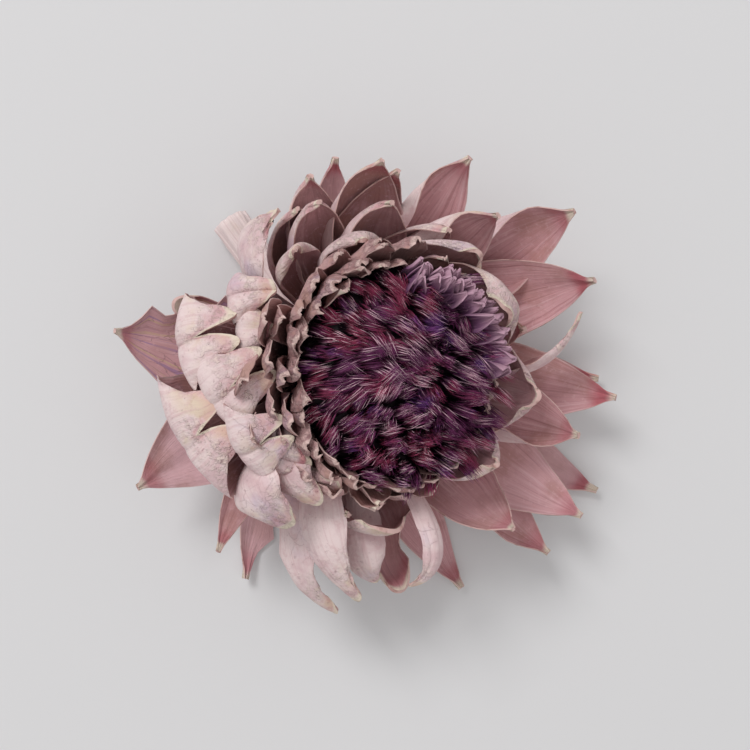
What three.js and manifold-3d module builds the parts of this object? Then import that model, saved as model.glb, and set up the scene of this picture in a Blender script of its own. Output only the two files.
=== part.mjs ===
// A dried globe artichoke in flower, as cut: a ribbed stem bent at the neck, a heart that carries
// leathery bracts in rows, and the violet florets of the choke standing in the cup of the bracts.
// Millimetres, +Z up. It lies as it would on a table, on its stem and its lowest bracts, and the
// origin is on that surface under the middle of the whole.
import * as THREE from "three";
import { mergeVertices } from "three/addons/utils/BufferGeometryUtils.js";
import Module from "manifold-3d";

const wasm = await Module();
wasm.setup();

const DEG = Math.PI / 180;
const GOLDEN_ANGLE = 137.508 * DEG;

// The head leans over on its bent stem: NECK is where they meet, LEAN how far its axis is off
// upright, and LEAN_TURN the way that it leans, counted from +X towards +Y.
const NECK = new THREE.Vector3(-9.8, 4.2, 15);
const LEAN = 27 * DEG;
const LEAN_TURN = -15 * DEG;
const MIDDLE = new THREE.Vector3(-0.6, -2.2, 0);

const STEM_RADIUS = 5.4;
const STEM_RIBS = 9;
const RIB_DEPTH = 0.7;
const STEM_END = new THREE.Vector3(-43, 45.5, 4.6);

// The heart, as a turned shape: radius and rise along the axis of the head.
const HEART_PROFILE = [
  [0, -3],
  [5, -3],
  [7, 0.5],
  [12, 3.5],
  [17.5, 8],
  [22, 13],
  [24, 17],
  [0, 17],
];
const HEART_SIDES = 20;
const HEART_TOP = HEART_PROFILE.at(-1)[1];

// The choke: a low dome packed with tufts of florets. CHOKE_BOUND is what the tufts stay within,
// and the bracts stand clear of it by CUP_GAP all round.
const CHOKE_CORE = [
  [0, 17.4],
  [21, 17.4],
  [23, 25],
  [24, 36],
  [18, 41],
  [0, 43.5],
];
const CHOKE_BOUND = [
  [0, 17.4],
  [21.5, 17.4],
  [24.5, 24],
  [27, 34],
  [29.3, 42],
  [28, 48],
  [18, 52],
  [0, 53],
];
const CUP_GAP = 0.4;
const CHOKE_SIDES = 20;
const TUFTS = 110;
const TUFT_RADIUS = 2.9;
const TUFT_LENGTH = 15;
const TUFT_SIDES = 4;

// Where each row of bracts roots on the heart: radius and rise, the lowest row first.
const ROWS = [
  { radius: 8, rise: 1.5 },
  { radius: 12, rise: 4.2 },
  { radius: 16, rise: 7.5 },
  { radius: 19.5, rise: 11 },
  { radius: 22, rise: 13.5 },
  { radius: 23.5, rise: 15.5 },
  { radius: 24.6, rise: 15.8 },
];

// The shape of a bract: full at the base, widest at swell of its length, then tapering to a blunt
// tip. Thick at the rib and the root, thin at the margins.
const BASE_SHARE = 0.4;
const RIB_THICKNESS = 2.2;
const TIP_THICKNESS = 1.3;
const MARGIN_THICKNESS = 0.8;
const FOLD_START = 0.6;
const FOLD_END = 0.82;

// How a bract of each kind grows, unless its own entry says otherwise. cup is how far each half
// turns up, left and right how far that margin is folded in, roll how far the blade is turned
// about its own length, and swing how far its root sits to one side of its tip, all in degrees.
// taper is how long it stays full before the tip, blunt the width of the tip, and torn names the
// sides with a ragged margin.
const SPREADING = {
  cup: 28, left: 0, right: 0, roll: 0, swing: 0, swell: 0.45, taper: 1.25, blunt: 2.4, torn: [],
};
const HOOKED = { ...SPREADING, cup: 18, swing: 16, swell: 0.6, taper: 2, blunt: 7 };
const PAPERY = { ...SPREADING, swell: 0.7, taper: 2.2, blunt: 3 };

// Bracts set one by one, as this head grew. tip is where the bract ends, in millimetres from the
// middle of the head, bow how far its back bulges off a straight line, and width its widest.
const SPREADING_BRACTS = [
  { row: 0, tip: [66.5, -1, 3], bow: 6, width: 20, cup: 20 },
  { row: 0, tip: [66, -34.5, 3], bow: 7, width: 22, cup: 20 },
  { row: 0, tip: [25.5, -63.5, 3], bow: 7.2, width: 20, cup: 20 },
  { row: 0, tip: [-39, -60.5, 3], bow: 8, width: 21, cup: 20, torn: ["left"] },
  { row: 0, tip: [-67, -31.5, 25], bow: 5, width: 32, cup: 16 },
  { row: 0, tip: [-56, 20, 33], bow: 6, width: 16, torn: ["left", "right"] },
  { row: 0, tip: [-11.5, 61, 28], bow: 6, width: 18, cup: 45 },
  { row: 1, tip: [69, -6.5, 19], bow: 6, width: 25, cup: 24 },
  { row: 1, tip: [59, -40.5, 19], bow: 6, width: 27, cup: 30 },
  { row: 1, tip: [50, -51.5, 15], bow: 5, width: 24, right: 60 },
  { row: 1, tip: [10.5, -65, 20], bow: 6, width: 22, cup: 40, left: 40 },
  { row: 1, tip: [-10.5, -65.5, 25], bow: 8, width: 24, roll: -25, torn: ["left"] },
  { row: 1, tip: [-44, -50, 27], bow: 10, width: 14, roll: 30, cup: 50 },
  { row: 1, tip: [-70, 9, 38], bow: 6, width: 30, cup: 18, torn: ["right"] },
  { row: 1, tip: [26, 60.5, 32], bow: 6, width: 26, cup: 24, left: 120 },
  { row: 2, tip: [55, 45.5, 33], bow: 8, width: 30, cup: 26, left: 90, right: 40 },
  { row: 1, tip: [61, 26.5, 32], bow: 9, width: 30, cup: 28, right: 70 },
  { row: 2, tip: [1.5, 58, 45], bow: 9, width: 29, cup: 34, left: 60 },
  { row: 1, tip: [6, 56, 39], bow: 9, width: 24, cup: 30, swing: 6 },
  { row: 2, tip: [-18, 54, 42], bow: 9, width: 24, cup: 45, left: 40 },
  { row: 2, tip: [57, -17, 30], bow: 8, width: 24, cup: 34, right: 90 },
  { row: 3, tip: [38, -42.5, 37], bow: 9, width: 26, cup: 34, left: 30, right: 30 },
  { row: 2, tip: [-4, -61, 35], bow: 13, width: 24, roll: -20, cup: 40 },
  { row: 2, tip: [8, -57, 34], bow: 7, width: 13, roll: 50, cup: 70, swing: 14 },
  { row: 2, tip: [-0.5, -57, 27], bow: 9, width: 22, roll: -15, cup: 40 },
  { row: 3, tip: [33, 43.5, 43], bow: 7, width: 27, cup: 30, left: 110, swing: 8 },
  { row: 3, tip: [4.5, 46, 49], bow: 8, width: 25, cup: 45, left: 50 },
  { row: 3, tip: [-15, 46, 51], bow: 10, width: 25, cup: 50, left: 50, right: 40 },
  { row: 3, tip: [-7.5, -38, 45], bow: 8, width: 16, roll: -20, cup: 40 },
  { row: 3, tip: [8, -44.5, 40], bow: 8, width: 28, cup: 34, right: 40 },
  { row: 4, tip: [45, -6, 40], bow: 7, width: 25, cup: 40, left: 20, right: 30 },
  { row: 4, tip: [38.5, 19, 47], bow: 8, width: 25, cup: 38, left: 50, right: 50 },
  { row: 4, tip: [28.5, 35.5, 47], bow: 6, width: 24, cup: 34 },
  { row: 4, tip: [-3, 36, 53], bow: 7, width: 25, cup: 44, left: 30, right: 30 },
  { row: 4, tip: [33, -24.5, 46], bow: 7, width: 24, cup: 38, right: 20 },
];

// Bracts that rise and then bend back over the head, so that their outer faces look up.
const HOOKED_BRACTS = [
  { row: 1, tip: [-36.5, -10.5, 57], bow: 22, width: 38, swing: 8, blunt: 13 },
  { row: 2, tip: [-35.5, 13, 57], bow: 20, width: 27, swing: 20, blunt: 9 },
  { row: 2, tip: [-25, 43.5, 47], bow: 14, width: 24, cup: 30, right: 30 },
  { row: 2, tip: [-22, -38, 50], bow: 20, width: 26, swing: -22, blunt: 11 },
  { row: 3, tip: [-26.5, 22, 55], bow: 15, width: 23, swing: 14, blunt: 10 },
  { row: 3, tip: [-27, 4, 59], bow: 17, width: 25, swing: 22, blunt: 10 },
  { row: 3, tip: [-22, -12, 60], bow: 15, width: 24, swing: 22, blunt: 8 },
  { row: 3, tip: [-14, -33, 52], bow: 14, width: 16, swing: -10, cup: 40 },
  { row: 4, tip: [-26, 11.5, 58], bow: 11, width: 20, swing: 18, blunt: 4 },
  { row: 4, tip: [-20.5, -15.5, 57], bow: 10, width: 22, swing: 14, blunt: 4 },
  { row: 4, tip: [-20, 32, 55], bow: 8, width: 18, cup: 60, left: 30 },
  { row: 4, tip: [-9, -24.5, 56], bow: 9, width: 18, cup: 26 },
];

// What the rows hold where no bract was set above: the low, spreading ones on the underside and
// the thin scales round the choke. reach and rise place the tip about the axis of the head.
const FILL_ROWS = [
  { row: 0, count: 9, reach: 33, rise: 9, bow: 4, width: 19, clear: 24 },
  { row: 1, count: 11, reach: 42, rise: 20, bow: 7, width: 23, clear: 22 },
  { row: 2, count: 13, reach: 42, rise: 34, bow: 10, width: 24, clear: 19 },
  { row: 5, count: 15, reach: 32, rise: 45, bow: 1.2, width: 11.5, clear: 0, kind: PAPERY },
];

// One steady stream of numbers from 0 to 1, the same on every run.
function draws(seed) {
  let state = seed;
  return () => {
    state = (Math.imul(state, 1664525) + 1013904223) >>> 0;
    return state / 4294967296;
  };
}

function solidFrom(geometry) {
  const bare = geometry.clone();
  for (const name of Object.keys(bare.attributes)) {
    if (name !== "position") bare.deleteAttribute(name);
  }
  const merged = mergeVertices(bare, 1e-4);
  return new wasm.Manifold(
    new wasm.Mesh({
      numProp: 3,
      vertProperties: merged.attributes.position.array,
      triVerts: new Uint32Array(merged.index.array),
    }),
  );
}

function geometryFrom(solid) {
  const mesh = solid.getMesh();
  return new THREE.BufferGeometry()
    .setAttribute("position", new THREE.BufferAttribute(new Float32Array(mesh.vertProperties), 3))
    .setIndex(new THREE.BufferAttribute(new Uint32Array(mesh.triVerts), 1));
}

// The largest closed surface of a solid. What it leaves out are the pockets that crossing bracts
// seal between them, so they count as filled, and any crumb that a cut has left loose.
function outerSurface(geometry) {
  const index = geometry.index.array;
  const spots = geometry.attributes.position;
  const leader = Uint32Array.from({ length: spots.count }, (_, i) => i);
  const leaderOf = (i) => {
    let at = i;
    while (leader[at] !== at) {
      leader[at] = leader[leader[at]];
      at = leader[at];
    }
    return at;
  };
  for (let i = 0; i < index.length; i += 3) {
    leader[leaderOf(index[i + 1])] = leaderOf(index[i]);
    leader[leaderOf(index[i + 2])] = leaderOf(index[i]);
  }
  const volumes = new Map();
  const [a, b, c] = [new THREE.Vector3(), new THREE.Vector3(), new THREE.Vector3()];
  for (let i = 0; i < index.length; i += 3) {
    a.fromBufferAttribute(spots, index[i]);
    b.fromBufferAttribute(spots, index[i + 1]);
    c.fromBufferAttribute(spots, index[i + 2]);
    const group = leaderOf(index[i]);
    volumes.set(group, (volumes.get(group) ?? 0) + a.dot(b.cross(c)) / 6);
  }
  const [largest] = [...volumes].sort((one, other) => other[1] - one[1])[0];
  const kept = [];
  for (let i = 0; i < index.length; i += 3) {
    if (leaderOf(index[i]) === largest) kept.push(index[i], index[i + 1], index[i + 2]);
  }
  return new THREE.BufferGeometry().setAttribute("position", spots).setIndex(kept);
}

// The frame of the head: its axis, and the turn from upright to it.
const AXIS = new THREE.Vector3(
  Math.sin(LEAN) * Math.cos(LEAN_TURN),
  Math.sin(LEAN) * Math.sin(LEAN_TURN),
  Math.cos(LEAN),
);
const LEANING = new THREE.Quaternion().setFromUnitVectors(new THREE.Vector3(0, 0, 1), AXIS);

function onHead(turn, radius, rise) {
  const point = new THREE.Vector3(radius * Math.cos(turn), radius * Math.sin(turn), rise);
  return point.applyQuaternion(LEANING).add(NECK);
}

function turnOf(point) {
  const local = point.clone().sub(NECK).applyQuaternion(LEANING.clone().invert());
  return Math.atan2(local.y, local.x);
}

function turned(profile, sides) {
  const points = profile.map(([radius, rise]) => new THREE.Vector2(radius, rise));
  const geometry = new THREE.LatheGeometry(points, sides);
  geometry.rotateX(Math.PI / 2);
  geometry.applyQuaternion(LEANING);
  geometry.translate(NECK.x, NECK.y, NECK.z);
  return solidFrom(geometry);
}

// A sheet of points with a twin set off behind it and a rim between their edges. place(u, t)
// gives the inner and the outer point, u across from -1 to 1 and t from the root to the tip.
function blade(across, along, place) {
  const grid = new THREE.PlaneGeometry(2, 1, across.length - 1, along);
  const spots = grid.attributes.position;
  const half = spots.count;
  const points = new Float32Array(half * 6);
  for (let i = 0; i < half; i += 1) {
    const { inner, outer } = place(across[i % across.length], spots.getY(i) + 0.5);
    outer.toArray(points, i * 3);
    inner.toArray(points, (half + i) * 3);
  }
  const outerFaces = [...grid.index.array];
  const faces = [...outerFaces];
  for (let i = 0; i < outerFaces.length; i += 3) {
    faces.push(half + outerFaces[i], half + outerFaces[i + 2], half + outerFaces[i + 1]);
  }
  const columns = across.length;
  const corner = (column, row) => row * columns + column;
  const edge = [];
  for (let c = 0; c < columns - 1; c += 1) edge.push(corner(c, along));
  for (let r = along; r > 0; r -= 1) edge.push(corner(columns - 1, r));
  for (let c = columns - 1; c > 0; c -= 1) edge.push(corner(c, 0));
  for (let r = 0; r < along; r += 1) edge.push(corner(0, r));
  edge.forEach((from, k) => {
    const to = edge[(k + 1) % edge.length];
    faces.push(to, from, half + from, to, half + from, half + to);
  });
  const geometry = new THREE.BufferGeometry()
    .setAttribute("position", new THREE.BufferAttribute(points, 3))
    .setIndex(faces);
  return solidFrom(geometry);
}

// The width of a bract along its length, as a share of its widest.
function outline(t, { swell, taper }) {
  if (t < swell) return BASE_SHARE + (1 - BASE_SHARE) * Math.sin((Math.PI / 2) * (t / swell));
  return 1 - ((t - swell) / (1 - swell)) ** taper;
}

// Where a ragged margin bites in, as a share of the half width.
function bite(t, seed) {
  return t < 0.4 ? 1 : 1 - 0.45 * Math.abs(Math.sin(t * 17 + seed));
}

// How far a margin point lies across the blade and above it once the blade is cupped and its edge
// folded, and the angle that the blade has turned to there.
function crossSection(reach, half, cup, fold) {
  const steps = 12;
  let [x, y, angle] = [0, 0, 0];
  for (let k = 0; k < steps; k += 1) {
    const v = (reach * (k + 0.5)) / steps;
    angle = (cup * v + fold * THREE.MathUtils.smoothstep(v, FOLD_START, FOLD_END)) * DEG;
    x += (reach * half * Math.cos(angle)) / steps;
    y += (reach * half * Math.sin(angle)) / steps;
  }
  return { x, y, angle };
}

function bract(entry, seed) {
  const { row, tip, bow, width, cup, left, right, roll, swing, blunt, torn } = entry;
  const end = new THREE.Vector3(...tip);
  const turn = turnOf(end) + swing * DEG;
  const start = onHead(turn, ROWS[row].radius - 2.5, ROWS[row].rise);
  const side = onHead(turn + Math.PI / 2, 1, 0).sub(NECK);
  const chord = end.clone().sub(start).normalize();
  const back = side.clone().cross(chord).normalize();
  const bend = start.clone().add(end).multiplyScalar(0.5).addScaledVector(back, 2 * bow);
  const spine = new THREE.QuadraticBezierCurve3(start, bend, end);
  const wide = left + right > 60 || width > 28;
  const across = wide ? [-1, -0.68, 0, 0.68, 1] : [-1, 0, 1];
  const along = bow > 12 ? 5 : Math.round(1.6 + width / 12);
  return blade(across, along, (u, t) => {
    const forward = spine.getTangent(t);
    const flank = side.clone().addScaledVector(forward, -side.dot(forward)).normalize();
    flank.applyAxisAngle(forward, roll * DEG);
    const inward = forward.clone().cross(flank);
    const edge = u > 0 ? "left" : "right";
    const ragged = torn.includes(edge) ? bite(t, seed) : 1;
    const half = Math.max((width / 2) * outline(t, entry) * ragged, blunt / 2);
    const fold = (u > 0 ? left : right) * Math.sin(Math.PI * Math.min(1, t * 1.15));
    const { x, y, angle } = crossSection(Math.abs(u), half, cup, fold);
    const rib = THREE.MathUtils.lerp(RIB_THICKNESS, TIP_THICKNESS, t);
    const depth = THREE.MathUtils.lerp(rib, MARGIN_THICKNESS, Math.abs(u) ** 1.5);
    const inner = spine
      .getPoint(t)
      .addScaledVector(flank, Math.sign(u) * x)
      .addScaledVector(inward, y);
    const outer = inner
      .clone()
      .addScaledVector(flank, Math.sign(u) * Math.sin(angle) * depth)
      .addScaledVector(inward, -Math.cos(angle) * depth);
    return { inner, outer };
  });
}

// How far apart two turns are, either way round.
function between(one, other) {
  return Math.abs(Math.atan2(Math.sin(one - other), Math.cos(one - other)));
}

function fillBracts(grown) {
  const random = draws(11);
  const found = [];
  for (const { row, count, reach, rise, bow, width, clear, kind = SPREADING } of FILL_ROWS) {
    const taken = grown.filter((set) => set.row === row).map((set) => turnOf(new THREE.Vector3(...set.tip)));
    for (let k = 0; k < count; k += 1) {
      const turn = ((k + 0.5 * (row % 2)) / count) * 2 * Math.PI + 0.1 * (random() - 0.5);
      const tip = onHead(turn, reach + 3 * (random() - 0.5), rise + 3 * (random() - 0.5));
      const wide = width * (0.9 + 0.2 * random());
      if (taken.every((other) => between(turn, other) > clear * DEG) || clear === 0) {
        found.push({ ...kind, row, tip: [tip.x, tip.y, Math.max(tip.z, 3)], bow, width: wide });
      }
    }
  }
  return found;
}

function stem() {
  const out = AXIS.clone().negate();
  const path = new THREE.CubicBezierCurve3(
    NECK.clone().addScaledVector(AXIS, 2),
    NECK.clone().addScaledVector(out, 8),
    new THREE.Vector3(-24, 18, 7),
    STEM_END,
  );
  const section = new THREE.Shape();
  for (let k = 0; k < 2 * STEM_RIBS; k += 1) {
    const radius = STEM_RADIUS - (k % 2) * RIB_DEPTH;
    const turn = (k * Math.PI) / STEM_RIBS;
    const place = [radius * Math.cos(turn), radius * Math.sin(turn)];
    if (k) section.lineTo(...place);
    else section.moveTo(...place);
  }
  return solidFrom(new THREE.ExtrudeGeometry(section, { steps: 8, extrudePath: path }));
}

// Everything below the surface that the head lies on, which flattens what presses on it.
function table() {
  const slab = new THREE.BoxGeometry(300, 300, 60);
  slab.translate(0, 0, -30);
  return solidFrom(slab);
}

function head() {
  const grown = [
    ...SPREADING_BRACTS.map((set) => ({ ...SPREADING, ...set })),
    ...HOOKED_BRACTS.map((set) => ({ ...HOOKED, ...set })),
  ];
  const body = [...grown, ...fillBracts(grown)].reduce(
    (whole, set, seed) => whole.add(bract(set, seed)),
    turned(HEART_PROFILE, HEART_SIDES).add(stem()),
  );
  const cup = CHOKE_BOUND.map(([radius, rise]) => [
    radius && radius + CUP_GAP,
    rise > HEART_TOP ? rise + CUP_GAP : rise - CUP_GAP,
  ]);
  return body.subtract(turned(cup, CHOKE_SIDES)).subtract(table());
}

// One tuft of florets: a slim cone that bends as it rises, its foot in the dome.
function tuft(place, out, swirl, lean, length) {
  const cone = new THREE.ConeGeometry(TUFT_RADIUS, length, TUFT_SIDES, 2);
  cone.translate(0, length / 2, 0);
  const spots = cone.attributes.position;
  const upright = new THREE.Vector3(0, 0, 1).applyQuaternion(LEANING);
  const point = new THREE.Vector3();
  for (let i = 0; i < spots.count; i += 1) {
    const share = spots.getY(i) / length;
    const angle = lean * (0.4 + 0.6 * share);
    const rise = upright.clone().multiplyScalar(Math.cos(angle)).addScaledVector(out, Math.sin(angle));
    rise.addScaledVector(swirl, 0.35 * share).normalize();
    const side = swirl.clone().addScaledVector(rise, -swirl.dot(rise)).normalize();
    point
      .copy(place)
      .addScaledVector(rise, spots.getY(i))
      .addScaledVector(side, spots.getX(i))
      .addScaledVector(side.clone().cross(rise), spots.getZ(i));
    spots.setXYZ(i, point.x, point.y, point.z);
  }
  return solidFrom(cone);
}

function choke() {
  const random = draws(5);
  const dome = turned(CHOKE_CORE, CHOKE_SIDES);
  const rim = CHOKE_CORE[2][0];
  const top = CHOKE_CORE.at(-1)[1];
  let packed = dome;
  for (let k = 0; k < TUFTS; k += 1) {
    const share = (k + 0.5) / TUFTS;
    const turn = k * GOLDEN_ANGLE;
    const radius = (rim - 1.5) * Math.sqrt(share);
    const place = onHead(turn, radius, top - 6 - 7 * share ** 2);
    const out = onHead(turn, 1, 0).sub(NECK);
    const swirl = onHead(turn - Math.PI / 2, 1, 0).sub(NECK);
    const lean = (12 + 34 * share) * DEG;
    packed = packed.add(tuft(place, out, swirl, lean, TUFT_LENGTH * (0.85 + 0.3 * random())));
  }
  return packed.intersect(turned(CHOKE_BOUND, CHOKE_SIDES));
}

function pieceOf(name, solid, material) {
  const mesh = new THREE.Mesh(outerSurface(geometryFrom(solid)), material);
  mesh.name = name;
  return mesh;
}

const dustyPink = new THREE.MeshStandardMaterial({ color: 0xc9a6a6, roughness: 0.8, metalness: 0 });
const darkViolet = new THREE.MeshStandardMaterial({ color: 0x5b2a55, roughness: 0.7, metalness: 0 });

const artichoke = new THREE.Group();
artichoke.add(pieceOf("bracts_and_stem", head(), dustyPink));
artichoke.add(pieceOf("choke", choke(), darkViolet));
artichoke.position.copy(MIDDLE).negate();

export default artichoke;
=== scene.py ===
"""Dresses a dried artichoke bloom: dusty pink bracts, a violet choke and a short bent stem.

The head leans over on its stem. Its bracts are given as on the solids, by their tips, and are
modelled here as thin curled blades with folded, waved and torn margins. All sizes in the classes
are millimetres from the middle of the head, and a piece is turned to metres as it is finished.
"""

import logging
import math
from dataclasses import dataclass, field, replace
from enum import Enum
from typing import Sequence

import bpy
import numpy as np
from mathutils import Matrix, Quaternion, Vector, noise


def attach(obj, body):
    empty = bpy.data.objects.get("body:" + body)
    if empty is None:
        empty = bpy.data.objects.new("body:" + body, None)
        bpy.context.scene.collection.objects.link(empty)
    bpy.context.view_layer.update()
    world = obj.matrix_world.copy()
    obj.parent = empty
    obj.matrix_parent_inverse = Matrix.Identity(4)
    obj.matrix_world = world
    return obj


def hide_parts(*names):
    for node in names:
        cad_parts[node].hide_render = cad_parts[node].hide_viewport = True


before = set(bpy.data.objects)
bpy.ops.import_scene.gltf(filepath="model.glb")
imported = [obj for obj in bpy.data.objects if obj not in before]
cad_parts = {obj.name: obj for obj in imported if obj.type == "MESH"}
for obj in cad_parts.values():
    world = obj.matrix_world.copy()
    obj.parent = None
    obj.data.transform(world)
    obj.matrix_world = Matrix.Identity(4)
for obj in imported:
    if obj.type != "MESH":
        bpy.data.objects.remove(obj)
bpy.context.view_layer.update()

LOG = logging.getLogger("artichoke")
MM = 0.001
BODY = "root"
HEAD_NODE = "bracts_and_stem"
CHOKE_NODE = "choke"

# The map that runs across and along a blade, and how wide a bract is that fills it, in millimetres.
BLADE_MAP = "blade"
MAP_WIDTH = 24


class Side(Enum):
    """The two margins of a bract, named for the way round the head that each one faces."""

    LEFT = "left"
    RIGHT = "right"


@dataclass(frozen=True)
class Head:
    """Where the head of the artichoke stands, and how it leans on its bent stem."""

    neck: Vector = field(default_factory=lambda: Vector((-9.8, 4.2, 15.0)))
    middle: Vector = field(default_factory=lambda: Vector((-0.6, -2.2, 0.0)))
    lean: float = math.radians(27)
    lean_turn: float = math.radians(-15)

    @property
    def axis(self) -> Vector:
        """The unit vector from the neck up through the choke."""
        flat = math.sin(self.lean)
        return Vector(
            (flat * math.cos(self.lean_turn), flat * math.sin(self.lean_turn), math.cos(self.lean))
        )

    @property
    def turn(self) -> Quaternion:
        """The turn that takes upright to the axis of the head."""
        return Vector((0, 0, 1)).rotation_difference(self.axis)

    def point(self, turn: float, radius: float, rise: float) -> Vector:
        """A place about the axis of the head.

        Args:
            turn: How far round, in radians.
            radius: How far out from the axis, in millimetres.
            rise: How far up the axis from the neck, in millimetres.

        Returns:
            The place in millimetres from the middle of the head.
        """
        spot = Vector((radius * math.cos(turn), radius * math.sin(turn), rise))
        return self.neck + self.turn @ spot

    def direction(self, turn: float) -> Vector:
        """The unit vector straight out from the axis at that turn."""
        return self.turn @ Vector((math.cos(turn), math.sin(turn), 0))

    def lee(self, turn: float) -> float:
        """How far a side of the head is from the way it leans: 0 on the low side, 1 behind."""
        return 0.5 - 0.5 * math.cos(turn - self.lean_turn)

    def turn_of(self, place: Vector) -> float:
        """How far round the axis of the head a place is, in radians."""
        local = self.turn.inverted() @ (place - self.neck)
        return math.atan2(local.y, local.x)


# Where each row of bracts roots on the heart: radius and rise about the axis, the lowest first.
ROWS = (
    (8.0, 1.5),
    (12.0, 4.2),
    (16.0, 7.5),
    (19.5, 11.0),
    (22.0, 13.5),
    (23.5, 15.5),
)
ROOT_DEPTH = 2.5

# The width of a blade at its root, as a share of its widest, and the part of each half, from the
# middle out, over which a folded margin turns. Its inner face keeps above LEAST_HEIGHT.
BASE_SHARE = 0.4
FOLD = (0.5, 0.74)
LEAST_HEIGHT = 1.0

# A tip wider than BLUNT is rounded off over ROUNDED of the length, and draws in less at its end.
BLUNT = 3
ROUNDED = 0.1
BLUNT_END, POINTED_END = 0.2, 0.5

# From TORN_FROM on, a torn margin has coarse and fine teeth: how many to a length, and how deep.
TORN_FROM = 0.4
TEETH = ((17, 0.45), (71, 0.12))

# How thick a blade is at its rib, at its root and at its tip. One under THIN_WIDTH wide is thinner.
THIN_WIDTH = 15
THIN_RIB, FULL_RIB = (1.3, 0.8), (2.2, 1.3)
MARGIN_THICKNESS = 0.3


@dataclass(frozen=True)
class Bract:
    """One bract, given by where its tip is and by how the blade curls on its way there.

    Lengths are millimetres and angles degrees. cup is how far each half turns up, left and right
    how far that margin is folded in, roll the turn of the blade about its own length, and swing
    how far its root sits to one side of its tip. It is widest at swell of its length, taper says
    how long it stays full before the tip, and blunt is the width of the tip. ripple is how far
    the margins wave, cleft how deep the tip is split, pad how far the tip's back bulges, curl how
    far the tip turns in, blush how red it is near the tip, streak how strongly it is streaked
    with violet and yellow, shade how far its inner face is painted browner, partly its own
    browning and partly painted shade inside a deep upright cup, or, below nothing, how far it is
    painted paler, as painted light, and clear whether it keeps out of the florets. Where crest is
    given, the blade rises over that place halfway, in place of its bow and swing.
    """

    row: int = 0
    tip: tuple[float, float, float] = (0, 0, 0)
    bow: float = 0
    width: float = 0
    cup: float = 28
    left: float = 0
    right: float = 0
    roll: float = 0
    swing: float = 0
    swell: float = 0.45
    taper: float = 2.0
    blunt: float = 2.0
    curl: float = 1.5
    torn: tuple[Side, ...] = ()
    ripple: float = 0.6
    cleft: float = 0
    pad: float = 0
    blush: float = 0.6
    streak: float = 0
    shade: float = 0
    clear: bool = True
    crest: tuple[float, float, float] | None = None


SPREADING = Bract()
CUPPED = Bract(swell=0.6, taper=2.4, blunt=4, ripple=1.0, blush=0.1)
BACKED = Bract(cup=38, swell=0.6, taper=2.4, blunt=5, curl=0, blush=0.3)
HOOKED = Bract(cup=16, swell=0.72, taper=2.8, blunt=8, ripple=0.3, pad=0.5, curl=0, blush=0.4)
PAPERY = Bract(swell=0.75, taper=2.2, blunt=3, ripple=2.4, blush=0)
LILAC = replace(
    PAPERY, row=5, bow=-0.6, cup=40, swell=0.86, taper=1.7, blunt=1.4, curl=-1.6, clear=False
)

LEFT, RIGHT = Side.LEFT, Side.RIGHT
BOTH = (LEFT, RIGHT)

# shade in these lists paints a bract's inner face: above nothing browner, partly its own browning and partly
# painted shade in a deep upright cup; below nothing paler, as painted light.
LOW_BRACTS = (
    replace(SPREADING, row=0, tip=(66.5, -1, 3), bow=6, width=20, cup=20, blush=1),
    replace(SPREADING, row=0, tip=(66, -34.5, 3), bow=7, width=22, cup=20, blush=1, shade=-0.3),
    replace(SPREADING, row=0, tip=(25.5, -63.5, 3), bow=7.2, width=20, cup=20),
    replace(SPREADING, row=0, tip=(-39, -60.5, 3), bow=8, width=21, cup=20, torn=(LEFT,), shade=-0.4),
    replace(SPREADING, row=0, tip=(-67, -31.5, 25), bow=5, width=32, cup=16, shade=-0.9),
    replace(SPREADING, row=0, tip=(-56, 20, 33), bow=6, width=21, taper=2.8, blunt=9, torn=BOTH, streak=0.5),
    replace(SPREADING, row=0, tip=(-11.5, 61, 28), bow=6, width=18, cup=45, blush=1, shade=0.9),
    replace(SPREADING, row=1, tip=(69, -6.5, 19), bow=6, width=25, cup=24, blush=1),
    replace(SPREADING, row=1, tip=(59, -40.5, 19), bow=6, width=27, cup=30, shade=-0.3),
    replace(SPREADING, row=1, tip=(50, -51.5, 15), bow=5, width=24, right=150),
    replace(SPREADING, row=1, tip=(6.5, -62.5, 23), bow=7, width=24, cup=40, blunt=11, curl=3.5, left=40),
    replace(BACKED, row=1, tip=(-10.5, -66, 25), crest=(-24, -43, 33), width=18, blunt=8, torn=(LEFT,)),
    replace(SPREADING, row=1, tip=(-44, -50, 27), bow=10, width=14, roll=30, cup=50, shade=-0.5),
    replace(SPREADING, row=1, tip=(-71, 12, 38), bow=6, width=37, swing=10, torn=(RIGHT,), streak=1),
    replace(SPREADING, row=1, tip=(26, 60.5, 32), bow=6, width=28, cup=24, left=150),
    replace(SPREADING, row=1, tip=(61, 26.5, 32), bow=9, width=29, cup=28, right=50, blush=1),
    replace(BACKED, row=1, tip=(56.5, 17.5, 33), crest=(39, 0.5, 25), width=12),
    replace(SPREADING, row=1, tip=(6, 56, 39), bow=9, width=24, cup=30, swing=6, shade=0.9),
)

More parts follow.
